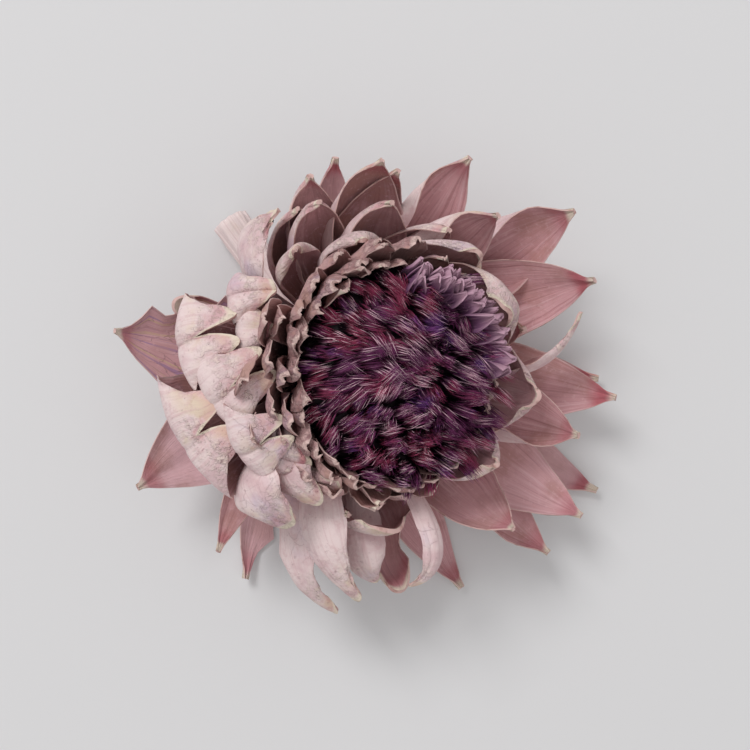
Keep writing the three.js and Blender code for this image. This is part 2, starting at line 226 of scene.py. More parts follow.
MIDDLE_BRACTS = (
    replace(SPREADING, row=2, tip=(55, 45.5, 33), bow=8, width=32, cup=26, left=150, right=60),
    replace(SPREADING, row=2, tip=(1.5, 58, 45), bow=9, width=29, cup=34, left=60, shade=0.9),
    replace(SPREADING, row=2, tip=(-18, 54, 42), bow=9, width=24, cup=45, left=40, shade=0.9),
    replace(SPREADING, row=2, tip=(57, -17, 30), bow=8, width=27, cup=34, right=150),
    replace(SPREADING, row=3, tip=(38, -42.5, 37), bow=9, width=26, cup=34, left=30, right=30),
    replace(BACKED, row=2, tip=(-4, -61, 35), crest=(-16.5, -37, 41), width=18, blunt=7),
    replace(BACKED, row=2, tip=(9.5, -57.5, 34), crest=(15.5, -42, 40), width=8.5, cup=50),
    replace(BACKED, row=2, tip=(0.5, -57, 27), crest=(-6, -43, 33), width=17),
    replace(SPREADING, row=3, tip=(33, 43.5, 43), bow=7, width=28, cup=30, left=160, swing=8, shade=0.4),
    replace(SPREADING, row=3, tip=(4.5, 46, 49), bow=8, width=25, cup=45, left=50, shade=0.9),
    replace(SPREADING, row=3, tip=(-15, 46, 51), bow=10, width=25, cup=50, left=50, right=40, shade=0.9),
    replace(SPREADING, row=3, tip=(-7.5, -38, 45), bow=8, width=16, roll=-20, cup=40),
    replace(CUPPED, row=3, tip=(4, -43.5, 46), bow=10, width=30, cup=26, blunt=16, curl=2.5),
    replace(CUPPED, row=4, tip=(45, -6, 40), bow=7, width=28, cup=34, blunt=9, shade=0.4),
    replace(CUPPED, row=4, tip=(38.5, 19, 47), bow=8, width=30, cup=30, blunt=12, curl=4.5, shade=0.4),
    replace(CUPPED, row=4, tip=(28, 33, 47), bow=6, width=25, cup=30, blunt=8, shade=0.4),
    replace(CUPPED, row=4, tip=(-3, 36, 53), bow=7, width=25, cup=44, left=30, right=30, shade=0.9),
    replace(CUPPED, row=4, tip=(33, -24.5, 46), bow=7, width=24, cup=38, right=20),
)

HOOKED_BRACTS = (
    replace(HOOKED, row=1, tip=(-37, -9.5, 56), crest=(-48.5, -17, 46), width=38, blunt=24, cleft=0.16),
    replace(HOOKED, row=2, tip=(-35, 12.3, 57), crest=(-49.5, 8, 48), width=27, blunt=18, cleft=0.2),
    replace(HOOKED, row=1, tip=(-25, 43.5, 45), crest=(-34, 27, 39), width=23, blunt=7),
    replace(SPREADING, row=2, tip=(-21, 45, 45), bow=13, width=27, cup=34, left=60, shade=0.9),
    replace(HOOKED, row=2, tip=(-21.5, -38.5, 50), crest=(-32, -25, 51), width=20, blunt=15),
    replace(HOOKED, row=3, tip=(-25.3, 21.7, 56), crest=(-37.3, 19, 50), width=14, blunt=10, pad=1.4),
    replace(HOOKED, row=3, tip=(-27, 3.8, 60), crest=(-41.5, -6.5, 54), width=26, blunt=17, cleft=0.18),
    replace(HOOKED, row=3, tip=(-22, -13, 61), crest=(-34.5, -18, 56), width=24, blunt=15, cleft=0.18),
    replace(HOOKED, row=3, tip=(-14, -33, 52), crest=(-24, -22, 52), width=14, blunt=9, cup=40),
    replace(HOOKED, row=4, tip=(-25.5, 11.6, 57), crest=(-35, 11.7, 53), width=12, blunt=3, blush=1),
    replace(HOOKED, row=4, tip=(-17, -23, 54), crest=(-26.5, -18, 54), width=14, blunt=9, pad=1.4, blush=1),
    replace(HOOKED, row=4, tip=(-20, 32, 55), bow=8, width=18, cup=60, left=30, blunt=4, shade=0.9),
    replace(HOOKED, row=4, tip=(-9, -26, 55), bow=9, width=15, cup=26, blunt=9, pad=1.4),
)


@dataclass(frozen=True)
class Ring:
    """A row of bracts alike, set by rule where the head has none of its own list.

    reach and rise place the tips about the axis of the head, in millimetres. On the side away from
    its lean they reach further by flare, and on the near side they are lower by drop. ragged is how
    far they stray. A bract is left out where one of the list stands within clear degrees of it, and
    between the two turns of gap.
    """

    habit: Bract
    row: int
    count: int
    reach: float
    rise: float
    bow: float
    width: float
    clear: float = 0
    ragged: float = 1.0
    flare: float = 0
    drop: float = 0
    gap: tuple[float, float] = (0, 0)

    def bracts(self, head: Head, grown: Sequence[Bract], seed: int) -> list[Bract]:
        """Places the ring's bracts round the head.

        Args:
            head: The head that they grow on.
            grown: The bracts that are there already, which the ring leaves room for.
            seed: Where the ring's own run of random numbers starts.

        Returns:
            The bracts that found room.
        """
        draw = np.random.default_rng(seed)
        taken = [head.turn_of(Vector(one.tip)) for one in grown if one.row == self.row]
        found = []
        for k in range(self.count):
            stagger = 0.5 * (seed % 2)
            turn = (k + stagger) / self.count * math.tau + draw.uniform(-0.05, 0.05)
            lee = head.lee(turn)
            reach = self.reach + self.flare * lee + self.ragged * draw.uniform(-0.7, 0.7)
            rise = self.rise - self.drop * (1 - lee) + self.ragged * draw.uniform(-1, 1)
            width = self.width * draw.uniform(0.8, 1.2)
            roll = 12 * self.ragged * draw.uniform(-1, 1)
            apart = [abs(math.remainder(turn - other, math.tau)) for other in taken]
            nearest = min(apart, default=math.tau)
            if self.clear and nearest < math.radians(self.clear):
                continue
            start, end = (math.radians(one) for one in self.gap)
            if start < math.remainder(turn, math.tau) < end:
                continue
            tip = head.point(turn, reach, rise)
            tip.z = max(tip.z, 3)
            grown_so = replace(self.habit, row=self.row, tip=tuple(tip), bow=self.bow)
            found.append(replace(grown_so, width=width, roll=roll))
        return found


LOW_RINGS = (
    Ring(SPREADING, row=0, count=9, reach=33, rise=9, bow=4, width=19, clear=24),
    Ring(SPREADING, row=1, count=11, reach=42, rise=20, bow=7, width=23, clear=22),
    Ring(SPREADING, row=2, count=13, reach=42, rise=34, bow=10, width=24, clear=19),
)
LILAC_SIDE = (4, 88)
NEAR_SIDE = (-145, 150)
SCALE_RINGS = (
    Ring(PAPERY, 4, 19, reach=33, rise=38, bow=2, width=12, ragged=2, flare=12, gap=NEAR_SIDE),
    Ring(PAPERY, 5, 21, reach=31.5, rise=40, bow=1.6, width=11, ragged=2, flare=8, drop=3),
    Ring(PAPERY, 5, 23, reach=30.5, rise=43, bow=1, width=10, ragged=2.2, flare=6, drop=5, gap=LILAC_SIDE),
    Ring(PAPERY, 5, 27, reach=29.6, rise=44, bow=0.8, width=9, ragged=2.2, flare=3, drop=6, gap=LILAC_SIDE),
)

# The space that the florets fill: radius and rise about the axis.
CHOKE_BOUND = (
    (21.5, 17.4),
    (24.5, 24.0),
    (27.0, 34.0),
    (29.3, 42.0),
    (28.0, 48.0),
    (18.0, 52.0),
    (0.0, 53.0),
)
CUP_GAP = 0.4

# The heart and the bed of the choke, as turned shapes: radius and rise about the axis.
HEART = ((5, -3), (7, 0.5), (12, 3.5), (17.5, 8), (22, 13), (24, 17), (20, 17.3), (2, 17.3))
CHOKE_BED = ((21, 17.8), (23.5, 25), (26, 33), (22, 37), (10, 40), (1, 40.5))
SCALE_THICKNESS = 1.3
GOLDEN_TURN = math.radians(137.508)


def smooth(value: np.ndarray, low: float, high: float) -> np.ndarray:
    """A soft step from 0 at low to 1 at high."""
    share = np.clip((value - low) / (high - low), 0, 1)
    return share * share * (3 - 2 * share)


def wave(places: np.ndarray) -> np.ndarray:
    """Smooth noise from -1 to 1 at each row of a table of places."""
    return np.array([noise.noise(Vector(place)) for place in places])


def unit(rows: np.ndarray) -> np.ndarray:
    """The rows of a table, each made one long."""
    return rows / np.linalg.norm(rows, axis=1, keepdims=True)


def curve(points: Sequence[np.ndarray], level: np.ndarray) -> np.ndarray:
    """The places on the curve that the points draw, where level goes from 0 to 1 along it."""
    last = len(points) - 1
    return sum(
        math.comb(last, k) * (1 - level) ** (last - k) * level**k * point
        for k, point in enumerate(points)
    )


def vertex_places(piece: bpy.types.Object) -> np.ndarray:
    """The places of a mesh's vertices, a row for each."""
    places = np.empty(len(piece.data.vertices) * 3)
    piece.data.vertices.foreach_get("co", places)
    return places.reshape(-1, 3)


class Blade:
    """The curled sheet of one bract, from a flat grid of places across and along it."""

    def __init__(self, head: Head, bract: Bract) -> None:
        """Works out the line that the bract's middle follows.

        Args:
            head: The head that it grows on.
            bract: Its measures.
        """
        self.head = head
        self.bract = bract
        tip = Vector(bract.tip)
        turn = head.turn_of(tip) + math.radians(bract.swing)
        radius, rise = ROWS[bract.row]
        root = head.point(turn, radius - ROOT_DEPTH, rise)
        side = head.direction(turn + math.pi / 2)
        back = side.cross((tip - root).normalized()).normalized()
        bend = (root + tip) / 2 + back * 2 * bract.bow
        if bract.crest:
            bend = 2 * Vector(bract.crest) - (root + tip) / 2
            side = (bend - root).cross(tip - root).normalized()
            outward = Vector(bract.crest) - (root + tip) / 2
            if (tip - root).cross(side).dot(outward) > 0:
                side.negate()
        self.side = np.array(side)
        self.line = [np.array(one) for one in (root, bend, tip)]
        self.key = bract.tip[0] + 3 * bract.tip[1]

    def outline(self, along: np.ndarray) -> np.ndarray:
        """The width at each place along the bract, as a share of its widest."""
        bract = self.bract
        rising = BASE_SHARE + (1 - BASE_SHARE) * np.sin(
            np.pi / 2 * np.clip(along / bract.swell, 0, 1)
        )
        fall = np.clip((along - bract.swell) / (1 - bract.swell), 0, 1)
        return np.where(along < bract.swell, rising, 1 - fall**bract.taper)

    def section(
        self, across: np.ndarray, half: np.ndarray, fold: np.ndarray
    ) -> tuple[np.ndarray, np.ndarray]:
        """How far each place lies to the side and above once the blade is cupped and folded.

        Args:
            across: From -1 at the right margin to 1 at the left one.
            half: Half the width there, in millimetres.
            fold: How far that margin is folded in, in degrees.

        Returns:
            The distance to the side, with its sign, and the height above the middle.
        """
        steps = 16
        reach = np.abs(across)
        aside = np.zeros_like(across)
        above = np.zeros_like(across)
        for k in range(steps):
            share = reach * (k + 0.5) / steps
            angle = np.radians(self.bract.cup * share + fold * smooth(share, *FOLD))
            aside += reach * half * np.cos(angle) / steps
            above += reach * half * np.sin(angle) / steps
        return np.sign(across) * aside, above

    def half_width(self, across: np.ndarray, along: np.ndarray) -> np.ndarray:
        """Half the width at each place, in millimetres, with the bites out of a torn margin."""
        bract = self.bract
        half = bract.width / 2 * self.outline(along)
        for side, sign in ((LEFT, 1), (RIGHT, -1)):
            if side not in bract.torn:
                continue
            teeth = 1
            for (pace, bite), shift in zip(TEETH, bract.tip):
                teeth = teeth * (1 - bite * np.abs(np.sin(along * pace + shift)))
            half = np.where((across * sign > 0) & (along > TORN_FROM), half * teeth, half)
        end = BLUNT_END if bract.blunt > BLUNT else POINTED_END
        return np.maximum(half, bract.blunt / 2) * (1 - end * smooth(along, 0.95, 1.0))

    def axes(self, across: np.ndarray, along: np.ndarray) -> tuple[np.ndarray, ...]:
        """Follows the line of the bract's middle.

        Args:
            across: From -1 at the right margin to 1 at the left one.
            along: From 0 at the root to 1 at the tip.

        Returns:
            The places on that line, and the ways to the left margin and to the inner side there.
        """
        bract = self.bract
        reach = np.abs(across)
        crown = np.abs(reach - 0.5) * 2 if bract.cleft else reach
        rounded = max(bract.cleft, ROUNDED if bract.blunt > BLUNT else 0)
        level = (along * (1 - rounded * crown**2.4))[:, None]
        forward = unit(curve(np.diff(self.line, axis=0), level))
        flank = unit(self.side - forward * (forward @ self.side)[:, None])
        roll = math.radians(bract.roll)
        flank = flank * math.cos(roll) + np.cross(forward, flank) * math.sin(roll)
        return curve(self.line, level), flank, np.cross(forward, flank)

    def relief(self, across: np.ndarray, along: np.ndarray) -> tuple[np.ndarray, np.ndarray]:
        """How the blade waves, creases, swells and curls.

        Args:
            across: From -1 at the right margin to 1 at the left one.
            along: From 0 at the root to 1 at the tip.

        Returns:
            The share that each place moves aside by, and how far it stands up, in millimetres.
        """
        bract, key = self.bract, self.key
        reach = np.abs(across)
        fine = 2.2 if bract.ripple > 2 else 1
        swing = np.column_stack((along * 5.5, np.sign(across) * 3 + key, np.zeros_like(along)))
        crease = np.column_stack((along * 13 * fine, across * 2.2 * fine + key, np.ones_like(along)))
        lump = np.column_stack((along * 3, across * 1.8, np.full_like(along, key * 0.7)))
        swing, crease, lump = wave(swing), wave(crease), wave(lump)
        above = reach**2.4 * bract.ripple * (1.3 * swing + 0.5 * crease) * smooth(along, 0.15, 0.5)
        above += 0.7 * lump * smooth(along, 0.1, 0.4)
        above -= bract.pad * np.sin(np.pi * reach) * smooth(along, 0.5, 0.8)
        above += bract.curl * smooth(along, 0.8, 1.0) ** 2
        if bract.cleft:
            above += 1.5 * (across > 0) * np.exp(-reach / 0.35) * smooth(along, 0.55, 0.8)
        return 0.05 * crease, above

    def shaped(self, across: np.ndarray, along: np.ndarray) -> np.ndarray:
        """Curls the flat grid into the bract.

        Args:
            across: From -1 at the right margin to 1 at the left one.
            along: From 0 at the root to 1 at the tip.

        Returns:
            The places of the bract's inner face, in millimetres.
        """
        bract = self.bract
        folded = np.where(across > 0, bract.left, bract.right)
        fold = folded * np.sin(np.pi * np.minimum(1, along * 1.15))
        aside, above = self.section(across, self.half_width(across, along), fold)
        drawn, raised = self.relief(across, along)
        spot, flank, inward = self.axes(across, along)
        places = spot + flank * (aside * (1 + drawn))[:, None] + inward * (above + raised)[:, None]
        if bract.clear:
            places = self.cleared(places)
        places[:, 2] = np.maximum(places[:, 2], LEAST_HEIGHT)
        return places

    def cleared(self, places: np.ndarray) -> np.ndarray:
        """Moves what would stand in the florets straight out, to just clear of them."""
        axis = np.array(self.head.axis)
        local = places - np.array(self.head.neck)
        rise = local @ axis
        out = local - rise[:, None] * axis
        radius = np.linalg.norm(out, axis=1)
        radii = [one[0] for one in CHOKE_BOUND]
        rises = [one[1] for one in CHOKE_BOUND]
        bound = np.interp(rise, rises, radii, left=0, right=0) + CUP_GAP
        inside = (radius < bound) & (rise > rises[0]) & (rise < rises[-2])
        push = np.where(inside, bound - radius, 0)
        return places + out / np.maximum(radius, 1e-6)[:, None] * push[:, None]

    def depth(self, across: np.ndarray, along: np.ndarray) -> np.ndarray:
        """The thickness at each place, in millimetres: thick at the rib, thin at the margins."""
        rib = np.interp(along, (0, 1), THIN_RIB if self.bract.width < THIN_WIDTH else FULL_RIB)
        return rib + (MARGIN_THICKNESS - rib) * np.abs(across) ** 1.5


class Value:
    """A number in a material, which Python's own operators turn into Math nodes."""

    def __init__(self, shader: "Shader", socket: bpy.types.NodeSocket) -> None:
        """Wraps an output socket of that material."""
        self.shader = shader
        self.socket = socket

    def join(self, operation: str, *others: "Value | float") -> "Value":
        """Adds a Math node.

        Args:
            operation: What the node does.
            others: The values that go into it after this one.

        Returns:
            What comes out of the node.
        """
        sources = dict(enumerate((self, *others)))
        return self.shader.value("ShaderNodeMath", {"operation": operation}, sources)

    def __add__(self, other: "Value | float") -> "Value":
        """Adds another value."""
        return self.join("ADD", other)

    def __mul__(self, other: "Value | float") -> "Value":
        """Multiplies by another value."""
        return self.join("MULTIPLY", other)

    def __sub__(self, other: "Value | float") -> "Value":
        """Takes another value away."""
        return self.join("SUBTRACT", other)

    def __abs__(self) -> "Value":
        """Drops the sign."""
        return self.join("ABSOLUTE")

    def step(self, low: float, high: float) -> "Value":
        """A soft step from 0 at low to 1 at high, or down again where low is the larger."""
        return self.shader.value(
            "ShaderNodeMapRange",
            {"interpolation_type": "SMOOTHSTEP"},
            {"Value": self, "From Min": low, "From Max": high},
        )


Colour = tuple[float, float, float]


def linear(red: int, green: int, blue: int) -> Colour:
    """A colour as seen on screen, turned to the light that the shader works in."""

    def one(part: int) -> float:
        """One part of the colour."""
        share = part / 255
        return share / 12.92 if share <= 0.04045 else ((share + 0.055) / 1.055) ** 2.4

    return one(red), one(green), one(blue)


class Shader:
    """One material and the nodes behind its surface."""

    def __init__(self, name: str, roughness: float) -> None:
        """Makes the material.

        Args:
            name: The material's name.
            roughness: How dull it is all over.
        """
        self.material = bpy.data.materials.new(name)
        self.material.use_nodes = True
        self.tree = self.material.node_tree
        self.surface = self.tree.nodes["Principled BSDF"]
        self.surface.inputs["Roughness"].default_value = roughness
        self.surface.inputs["Specular IOR Level"].default_value = 0.3

    def node(
        self, kind: str, settings: dict[str, object], inputs: dict[object, object]
    ) -> bpy.types.Node:
        """Adds a node.

        Args:
            kind: The node's type.
            settings: Its own properties, set first.
            inputs: A value, a colour or another node's output for each of its sockets.

        Returns:
            The node.
        """
        made = self.tree.nodes.new(kind)
        for name, setting in settings.items():
            setattr(made, name, setting)
        for name, source in inputs.items():
            self.feed(made.inputs[name], source)
        return made

    def feed(self, socket: bpy.types.NodeSocket, source: object) -> None:
        """Gives a socket a value, a colour or another node's output."""
        if isinstance(source, Value):
            source = source.socket
        if isinstance(source, bpy.types.NodeSocket):
            self.tree.links.new(source, socket)
        elif socket.type == "RGBA":
            socket.default_value = (*source, 1)
        else:
            socket.default_value = source

    def value(
        self, kind: str, settings: dict[str, object], inputs: dict[object, object], out: object = 0
    ) -> Value:
        """Adds a node and gives one of its outputs as a value."""
        return Value(self, self.node(kind, settings, inputs).outputs[out])

    def attribute(self, name: str) -> Value:
        """A number that the mesh carries."""
        return self.value("ShaderNodeAttribute", {"attribute_name": name}, {}, out="Fac")

    def blade(self, stretch: tuple[float, float]) -> bpy.types.NodeSocket:
        """The place across and along a bract, for patterns that run with it.

        Args:
            stretch: How often the pattern repeats across and along.

        Returns:
            The place, as a vector.
        """
        flat = self.node("ShaderNodeUVMap", {"uv_map": BLADE_MAP}, {}).outputs["UV"]
        scale = (*stretch, 1)
        return self.node("ShaderNodeMapping", {}, {"Vector": flat, "Scale": scale}).outputs[0]

    def mottle(self, scale: float, detail: float, rough: float = 0.55) -> Value:
        """Smooth noise about a half, alike in all directions and that often to the metre."""
        where = self.node("ShaderNodeTexCoord", {}, {}).outputs["Object"]
        inputs = {"Vector": where, "Scale": scale, "Detail": detail, "Roughness": rough}
        return self.value("ShaderNodeTexNoise", {}, inputs)

    def grain(self, stretch: tuple[float, float], detail: float) -> Value:
        """Smooth noise about a half that runs with a bract."""
        inputs = {"Vector": self.blade(stretch), "Scale": 1, "Detail": detail, "Roughness": 0.55}
        return self.value("ShaderNodeTexNoise", {}, inputs)

    def crazing(self, stretch: tuple[float, float]) -> Value:
        """How near a place is to a wandering crack in the skin of a bract, 0 on a crack."""
        flat = self.blade(stretch)
        noisy = {"Vector": flat, "Scale": 0.9, "Detail": 4}
        shift = self.node("ShaderNodeTexNoise", {}, noisy).outputs["Color"]
        add = self.node("ShaderNodeVectorMath", {"operation": "ADD"}, {0: flat, 1: shift})
        settings = {"feature": "DISTANCE_TO_EDGE"}
        where = {"Vector": add.outputs[0], "Scale": 1}
        return self.value("ShaderNodeTexVoronoi", settings, where)

    def layered(self, colour: object, *layers: tuple[Value, Colour]) -> bpy.types.NodeSocket:
        """Lays colours over one another.

        Args:
            colour: The lowest colour.
            layers: For each layer above, how much of it shows and its colour.

        Returns:
            The colour that shows.
        """
        for share, other in layers:
            mix = self.node("ShaderNodeMix", {"data_type": "RGBA"}, {0: share})
            sockets = [socket for socket in mix.inputs if socket.type == "RGBA"]
            for socket, source in zip(sockets, (colour, other)):
                self.feed(socket, source)
            colour = next(socket for socket in mix.outputs if socket.type == "RGBA")
        return colour

    def finish(self, colour: bpy.types.NodeSocket, height: Value, depth: float) -> None:
        """Joins the colour and the relief to the surface.

        Args:
            colour: The colour of the surface.
            height: The relief, from 0 to 1.
            depth: How deep the relief is, in millimetres.
        """
        self.tree.links.new(colour, self.surface.inputs["Base Color"])
        bump = self.node("ShaderNodeBump", {}, {"Height": height, "Distance": depth * MM})
        self.tree.links.new(bump.outputs[0], self.surface.inputs["Normal"])


@dataclass(frozen=True)
class InnerFace:
    """The dusty rose inside of a bract, darker and browner towards its root, partly its own colour and
    partly painted shade under the bracts that overlap it.
    """

    name: str = "bract inner face"
    # root: the dark base of the blade, partly its own colour and partly painted shade under the bracts
    # above; the cracks take it too.
    root: Colour = linear(98, 58, 58)
    flesh: Colour = linear(206, 156, 160)
    pale: Colour = linear(224, 185, 190)
    brown: Colour = linear(172, 124, 116)
    vein: Colour = linear(148, 98, 100)
    blush: Colour = linear(176, 78, 90)
    cream: Colour = linear(228, 212, 196)
    edge: Colour = linear(214, 184, 182)
    violet: Colour = linear(128, 96, 156)
    yellow: Colour = linear(206, 188, 120)
    # The brown that shade above nothing paints: partly the bract's own browning, partly painted shade in a
    # deep upright cup.
    dried_and_shaded: Colour = linear(116, 80, 74)

    def material(self) -> bpy.types.Material:
        """Builds the material."""
        shader = Shader(self.name, 0.72)
        along, across = shader.attribute("along"), abs(shader.attribute("across"))
        tone, blush = shader.attribute("tone"), shader.attribute("blush")
        shade = shader.attribute("shade")
        grain = shader.grain((20, 1.4), detail=5)
        fine = shader.grain((90, 7), detail=2)
        blotch = shader.mottle(75, detail=4)
        bands = shader.grain((9, 0.7), detail=2)
        streak = shader.attribute("streak") * along.step(0.35, 0.6)
        crazed = shader.crazing((5, 6)).step(0.03, 0.0) * streak
        dust = shader.mottle(800, detail=3)
        ragged = along + (blotch - 0.5) * 0.12
        ring = ragged.step(0.87, 0.94) * ragged.step(0.985, 0.955)
        colour = shader.layered(
            self.root,
            # Partly painted shade: the blade keeps the dark root colour near its base and reaches its flesh
            # colour at seven tenths of its length.
            (along.step(0.15, 0.7), self.flesh),
            (grain.step(0.5, 0.7) * 0.75, self.pale),
            (grain.step(0.47, 0.32) * 0.5, self.vein),
            # Partly painted shade: a bract with shade above nothing browns in blotches, as inside a deep
            # upright cup.
            (shade * blotch.step(0.25, 0.6) * 0.75, self.dried_and_shaded),
            # Painted light: a bract with shade below nothing is painted paler, as if more lit.
            (shade.step(0.0, -1.0) * 0.8, self.pale),
            (bands.step(0.56, 0.62) * streak * 0.8, self.violet),
            (bands.step(0.42, 0.38) * streak * 0.7, self.yellow),
            (crazed * 0.7, self.root),
            (fine.step(0.52, 0.75) * 0.35, self.vein),
            (blotch.step(0.45, 0.65) * 0.65, self.brown),
            (dust.step(0.56, 0.72) * 0.35, self.pale),
            (tone.step(0.3, 1.0) * along.step(0.3, 0.8) * 0.4, self.pale),
            (ring * blush * 0.75, self.blush),
            (ragged.step(0.955, 0.985), self.cream),
            (across.step(0.94, 1.0) * 0.7, self.edge),
        )
        shader.finish(colour, grain * 0.4 + fine * 0.2 + blotch * 0.8, 0.7)
        return shader.material


@dataclass(frozen=True)
class OuterFace:
    """The pale back of a bract, mottled, finely cracked and crusted with cream near its tip."""

    name: str = "bract outer face"
    low: Colour = linear(208, 172, 174)
    flesh: Colour = linear(229, 208, 207)
    rose: Colour = linear(208, 174, 178)
    lilac: Colour = linear(196, 176, 206)
    yellow: Colour = linear(212, 192, 156)
    crack: Colour = linear(134, 98, 104)
    blush: Colour = linear(190, 84, 102)
    cream: Colour = linear(226, 210, 192)
    rust: Colour = linear(186, 146, 124)

    def material(self) -> bpy.types.Material:
        """Builds the material."""
        shader = Shader(self.name, 0.78)
        along = shader.attribute("along")
        blush = shader.attribute("blush")
        grain = shader.grain((22, 2), detail=4)
        blotch = shader.mottle(95, detail=4)
        patch = shader.mottle(60, detail=2)
        chips = shader.mottle(620, detail=3)
        wrinkle = shader.mottle(260, detail=4, rough=0.7)
        crazed = shader.crazing((4, 9))
        crust = shader.mottle(420, detail=4, rough=0.7)
        tipward = along.step(0.7, 0.92)
        crusted = crust.step(0.45, 0.62) * blotch.step(0.38, 0.56) * along.step(0.66, 0.9)
        cracks = crazed.step(0.014, 0.0) * patch.step(0.5, 0.6)
        ragged = along + (blotch - 0.5) * 0.12
        ring = ragged.step(0.88, 0.95) * ragged.step(0.985, 0.96)
        colour = shader.layered(
            self.low,
            (along.step(0.15, 0.6), self.flesh),
            (blotch.step(0.45, 0.65) * 0.75, self.rose),
            (patch.step(0.56, 0.72) * 0.4, self.lilac),
            (blotch.step(0.5, 0.36) * tipward * 0.6, self.yellow),
            (crusted * 0.5, self.cream),
            (crust.step(0.46, 0.36) * along.step(0.78, 0.94) * 0.35, self.rust),
            (grain.step(0.52, 0.7) * 0.55, self.low),
            (grain.step(0.47, 0.32) * 0.4, self.rose),
            (wrinkle.step(0.52, 0.68) * 0.5, self.low),
            (chips.step(0.62, 0.74) * 0.3, self.crack),
            (cracks * 0.22, self.crack),
            (chips.step(0.64, 0.72) * tipward * 0.6, self.crack),
            (ring * blush * 0.6, self.blush),
            (ragged.step(0.96, 0.985), self.cream),
        )
        relief = grain * 0.4 + wrinkle * 0.5 + chips * 0.15 - cracks * 0.1 + crusted * 0.4
        shader.finish(colour, relief, 0.9)
        return shader.material


@dataclass(frozen=True)
class Margin:
    """The cut-looking rim of a bract, cream to brown."""

    name: str = "bract margin"
    cream: Colour = linear(208, 174, 168)
    brown: Colour = linear(150, 104, 96)

    def material(self) -> bpy.types.Material:
        """Builds the material."""
        shader = Shader(self.name, 0.8)
        blotch = shader.mottle(240, detail=3)
        colour = shader.layered(self.cream, (blotch.step(0.5, 0.7) * 0.8, self.brown))
        shader.finish(colour, blotch, 0.2)
        return shader.material


# The finishes of the papery scales round the choke, browner and duller than a bract's.
SCALE_SKIN = (
    InnerFace(
        name="scale inner face",
        # root: the dark base of a scale, partly its own colour and partly painted shade.
        root=linear(70, 44, 46),
        flesh=linear(164, 122, 120),
        pale=linear(196, 160, 156),
    ),
    OuterFace(
        name="scale outer face",
        low=linear(104, 70, 70),
        flesh=linear(190, 150, 150),
        rose=linear(150, 110, 112),
        yellow=linear(176, 140, 124),
        cream=linear(220, 190, 184),
    ),
    Margin(name="scale margin", cream=linear(206, 176, 170), brown=linear(130, 90, 86)),
)


@dataclass(frozen=True)
class StemSkin:
    """The pale, fibrous skin of the stem."""

    skin: Colour = linear(236, 218, 216)
    groove: Colour = linear(204, 176, 176)
    stain: Colour = linear(214, 196, 182)

    def material(self) -> bpy.types.Material:
        """Builds the material."""
        shader = Shader("stem skin", 0.8)
        fibres = shader.grain((60, 3), detail=4)
        blotch = shader.mottle(130, detail=3)
        colour = shader.layered(
            self.skin,
            (fibres.step(0.45, 0.75) * 0.8, self.groove),
            (blotch.step(0.5, 0.7) * 0.5, self.stain),
        )
        shader.finish(colour, fibres, 0.5)
        return shader.material


@dataclass(frozen=True)
class FloretFibre:
    """The fibres of the florets: near black at the foot, painted shade of the gaps between the tufts; violet
    to red above; and some of them pale near the tip, partly their own colour and partly a painted highlight.
    """

    # foot: near black, painted shade for the gaps between the tufts; strands of low tone, at random, take
    # some of it too.
    foot: Colour = linear(20, 6, 16)
    violet: Colour = linear(134, 58, 112)
    magenta: Colour = linear(184, 70, 108)
    indigo: Colour = linear(104, 74, 164)
    # lilac: near white, the pale tips of some strands and in part a painted highlight on them.
    lilac: Colour = linear(248, 208, 220)

    def material(self) -> bpy.types.Material:
        """Builds the material."""
        shader = Shader("floret fibre", 0.5)
        along, tone = shader.attribute("along"), shader.attribute("tone")
        patch = shader.mottle(70, detail=2)
        spot = shader.mottle(110, detail=2)
        # Some strands, at random, turn near white towards the tip: partly their own pale tips, partly a
        # painted highlight.
        pale_tips_and_highlight = tone.step(0.7, 0.84) * along.step(0.45, 0.75)
        colour = shader.layered(
            self.violet,
            (patch.step(0.42, 0.6), self.magenta),
            (spot.step(0.56, 0.66) * 0.5, self.indigo),
            # Painted shade: each strand is near black along its lower part, fading out towards its tip.
            (along.step(0.95, 0.42), self.foot),
            (pale_tips_and_highlight * 0.9, self.lilac),
            (tone.step(0.3, 0.0) * 0.6, self.foot),
        )
        shader.finish(colour, patch, 0.05)
        return shader.material


@dataclass(frozen=True)
class LilacScale:
    """The thin lilac scales that stand at the edge of the choke."""

    foot: Colour = linear(44, 18, 40)
    body: Colour = linear(118, 78, 112)
    tip: Colour = linear(204, 164, 180)

    def material(self) -> bpy.types.Material:
        """Builds the material."""
        shader = Shader("lilac scale", 0.55)
        along = shader.attribute("along")
        veins = shader.grain((40, 2), detail=3)
        colour = shader.layered(
            self.foot,
            (along.step(0.68, 0.86), self.body),
            (along.step(0.84, 1.0) * 0.8, self.tip),
            (veins.step(0.5, 0.8) * 0.5, self.tip),
        )
        shader.finish(colour, veins, 0.25)
        return shader.material


